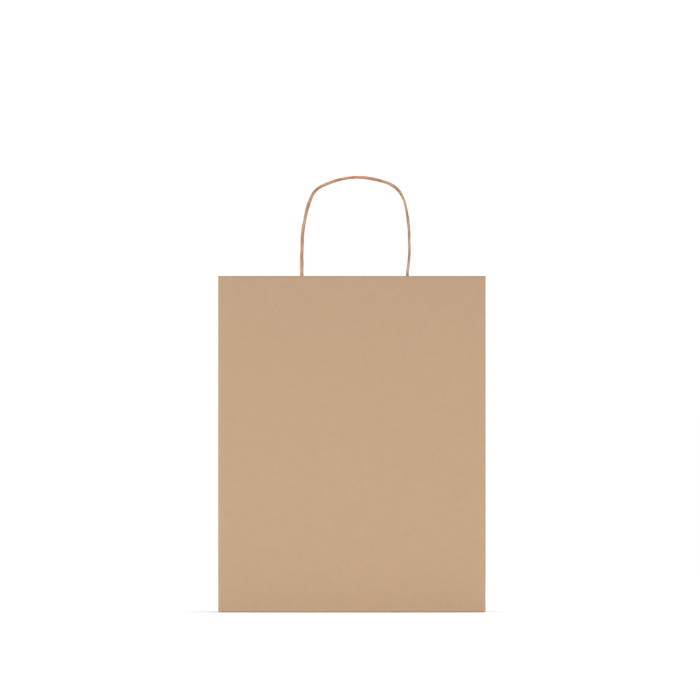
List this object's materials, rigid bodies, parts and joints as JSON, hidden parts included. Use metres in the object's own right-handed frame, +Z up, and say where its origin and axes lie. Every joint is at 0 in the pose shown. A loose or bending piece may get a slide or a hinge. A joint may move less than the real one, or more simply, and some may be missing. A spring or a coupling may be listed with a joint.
{
  "type": "paper carrier bag",
  "caption": "Brown paper carrier bag standing open, with folding side gussets, a glued block bottom and twisted paper cord handles glued inside the rim.",
  "frame": {"origin": "centre of the base, on the surface the bag stands on", "axes": "+X across the face, +Y from the front face to the back, +Z up"},
  "size_m": [0.25, 0.11, 0.4079],
  "materials": {
    "paper": "matt uncoated brown paper with a fine fibre grain",
    "patch_paper": "matt uncoated brown paper, slightly darker",
    "cord_paper": "tightly twisted brown paper cord"
  },
  "bodies": {
    "base": {"bottom_front_flap": "paper", "bottom_back_flap": "paper", "bottom_end_flap_left": "paper", "bottom_end_flap_right": "paper"},
    "left_foot": {"left_gusset_foot": "paper"},
    "right_foot": {"right_gusset_foot": "paper"},
    "back_lower": {"back_panel_lower": "paper"},
    "back": {"back_panel": "paper", "side_seam_flap": "paper", "back_patch_backing": "patch_paper", "back_patch_cover": "patch_paper", "back_cord_ends": "cord_paper"},
    "left_rear": {"left_gusset_rear": "paper"},
    "left_front": {"left_gusset_front": "paper"},
    "right_rear": {"right_gusset_rear": "paper"},
    "right_front": {"right_gusset_front": "paper"},
    "front": {"front_panel": "paper", "front_patch_backing": "patch_paper", "front_patch_cover": "patch_paper", "front_cord_ends": "cord_paper"},
    "front_handle": {"front_handle": "cord_paper"},
    "back_handle": {"back_handle": "cord_paper"}
  },
  "joints": [
    {"name": "fold", "type": "hinge", "parent": "base", "child": "back_lower", "pos_m": [0, 0.0548, 0.0006], "axis": [1, 0, 0], "range_deg": [0, 85]},
    {"name": "back_crease", "type": "hinge", "parent": "back_lower", "child": "back", "pos_m": [0, 0.055, 0.0556], "axis": [1, 0, 0], "range_deg": [-170, 0]},
    {"name": "left_foot_crease", "type": "hinge", "parent": "base", "child": "left_foot", "pos_m": [-0.12454, 0, 0.0006], "axis": [0, 1, 0], "range_deg": [0, 90]},
    {"name": "right_foot_crease", "type": "hinge", "parent": "base", "child": "right_foot", "pos_m": [0.12454, 0, 0.0006], "axis": [0, 1, 0], "range_deg": [-90, 0]},
    {"name": "left_rear_corner", "type": "hinge", "parent": "back", "child": "left_rear", "pos_m": [-0.1248, 0.0548, 0.157], "axis": [0, 0, 1], "range_deg": [0, 85]},
    {"name": "left_gusset_crease", "type": "hinge", "parent": "left_rear", "child": "left_front", "pos_m": [-0.125, 0, 0.157], "axis": [0, 0, 1], "range_deg": [-170, 0]},
    {"name": "left_front_corner", "type": "hinge", "parent": "left_front", "child": "front", "pos_m": [-0.1248, -0.0548, 0.157], "axis": [0, 0, 1], "range_deg": [0, 85]},
    {"name": "right_rear_corner", "type": "hinge", "parent": "back", "child": "right_rear", "pos_m": [0.1248, 0.0548, 0.157], "axis": [0, 0, 1], "range_deg": [-85, 0]},
    {"name": "right_gusset_crease", "type": "hinge", "parent": "right_rear", "child": "right_front", "pos_m": [0.125, 0, 0.157], "axis": [0, 0, 1], "range_deg": [0, 170]},
    {"name": "front_handle_bend", "type": "hinge", "parent": "front", "child": "front_handle", "pos_m": [0.0025, -0.0531, 0.3166], "axis": [1, 0, 0], "range_deg": [0, 100]},
    {"name": "back_handle_bend", "type": "hinge", "parent": "back", "child": "back_handle", "pos_m": [0.0025, 0.0531, 0.3166], "axis": [-1, 0, 0], "range_deg": [0, 100]}
  ],
  "couplings": [
    {"joint": "back_crease", "follows": "fold", "ratio": -2},
    {"joint": "left_foot_crease", "follows": "fold", "ratio": 1.04},
    {"joint": "right_foot_crease", "follows": "fold", "ratio": -1.04},
    {"joint": "left_rear_corner", "follows": "fold", "ratio": 1},
    {"joint": "left_gusset_crease", "follows": "fold", "ratio": -2},
    {"joint": "left_front_corner", "follows": "fold", "ratio": 1},
    {"joint": "right_rear_corner", "follows": "fold", "ratio": -1},
    {"joint": "right_gusset_crease", "follows": "fold", "ratio": 2}
  ]
}
